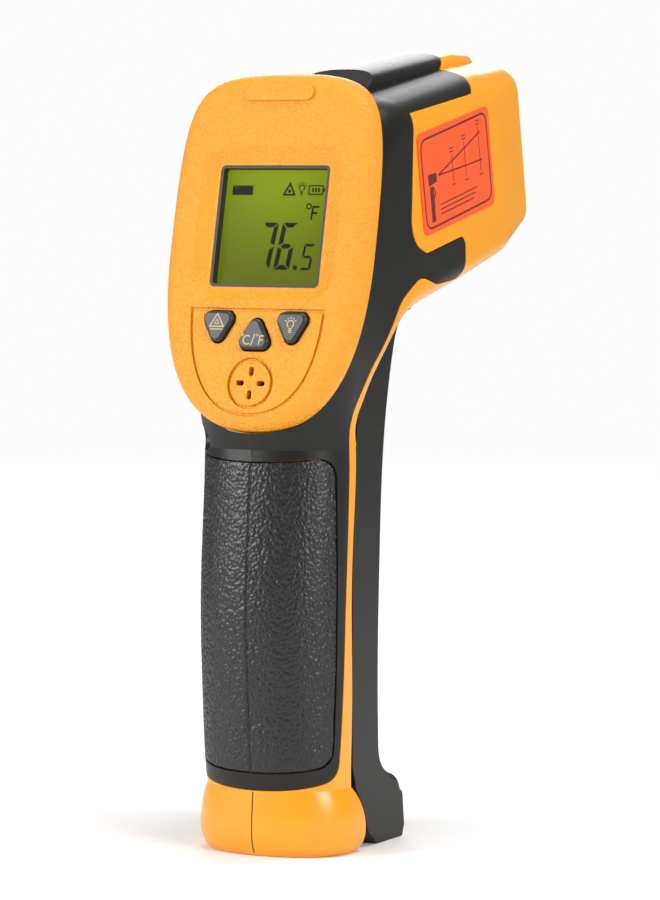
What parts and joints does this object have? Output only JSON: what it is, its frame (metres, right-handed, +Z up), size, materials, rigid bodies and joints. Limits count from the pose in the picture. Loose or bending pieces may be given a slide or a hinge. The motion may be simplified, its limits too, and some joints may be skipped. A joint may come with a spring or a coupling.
{
  "type": "handheld infrared thermometer",
  "caption": "Pistol-grip infrared thermometer with a rubber-covered two-half case, tilted display bezel with keys, trigger, swing-down battery door and optics in the nose.",
  "frame": {"origin": "on the flat underside of the base, in the seam plane between the two case halves", "axes": "+X to the user's right, +Y forward to the nose, +Z up along the handle"},
  "size_m": [0.045, 0.0912, 0.1593],
  "materials": {
    "yellow_case": "satin",
    "yellow_bezel": "fine texture",
    "black_rubber": "matt, fine grain",
    "grained_rubber": "coarse leather grain",
    "clear_window": "polished",
    "lcd_glass": "satin",
    "frosted_guide": "frosted",
    "contact_rubber": "matt",
    "black_plastic": "moulded",
    "key_rubber": "matt",
    "switch_plastic": "moulded",
    "circuit_board": "solder mask",
    "zinc_steel": "zinc plated",
    "battery_can": "printed sleeve",
    "red_insulation": "satin",
    "black_insulation": "satin",
    "door_plastic": "fine texture",
    "steel": "turned",
    "lens_material": "polished",
    "brass_tube": "turned",
    "label_film": "printed film"
  },
  "bodies": {
    "root": {"housing_right": "yellow_case", "housing_left": "yellow_case", "rear_bezel": "yellow_bezel", "overmould_right": "black_rubber", "overmould_left": "black_rubber", "grip_insert_right": "grained_rubber", "grip_insert_left": "grained_rubber", "window_gasket": "black_plastic", "display_window": "clear_window", "lcd_panel": "lcd_glass", "backlight_guide": "frosted_guide", "contact_strip": "contact_rubber", "lcd_holder": "black_plastic", "key_switches": "switch_plastic", "buzzer": "black_plastic", "main_board": "circuit_board", "board_screws": "zinc_steel", "battery": "battery_can", "battery_snap": "black_plastic", "red_lead": "red_insulation", "black_lead": "black_insulation", "door_pin": "steel", "trigger_pin": "steel", "trigger_spring": "steel", "switch_board": "circuit_board", "trigger_switch": "switch_plastic", "nose_cone": "black_plastic", "ir_lens": "lens_material", "lens_ring": "black_plastic", "optic_barrel": "brass_tube", "thermopile": "steel", "sensor_board": "circuit_board", "laser_module": "brass_tube", "laser_window": "clear_window", "case_screws": "zinc_steel", "range_label": "label_film"},
    "laser_key": {"laser_key": "key_rubber"},
    "units_key": {"units_key": "key_rubber"},
    "backlight_key": {"backlight_key": "key_rubber"},
    "trigger": {"trigger": "door_plastic"},
    "battery_door": {"battery_door": "door_plastic"}
  },
  "joints": [
    {"name": "laser_key_press", "type": "slide", "parent": "root", "child": "laser_key", "axis": [0, 0.9763, -0.2164], "range_m": [0, 0.0006], "stiffness_N_per_m": 2000, "springref_m": -0.0003},
    {"name": "units_key_press", "type": "slide", "parent": "root", "child": "units_key", "axis": [0, 0.9763, -0.2164], "range_m": [0, 0.0006], "stiffness_N_per_m": 2000, "springref_m": -0.0003},
    {"name": "backlight_key_press", "type": "slide", "parent": "root", "child": "backlight_key", "axis": [0, 0.9763, -0.2164], "range_m": [0, 0.0006], "stiffness_N_per_m": 2000, "springref_m": -0.0003},
    {"name": "trigger_pull", "type": "hinge", "parent": "root", "child": "trigger", "pos_m": [0, 0.0145, 0.1091], "axis": [-1, 0, 0], "range_deg": [0, 8], "stiffness_Nm_per_rad": 0.08, "springref_deg": -8.02},
    {"name": "battery_door_swing", "type": "hinge", "parent": "root", "child": "battery_door", "pos_m": [0, 0.0085, 0.0055], "axis": [-1, 0, 0], "range_deg": [0, 60]}
  ]
}
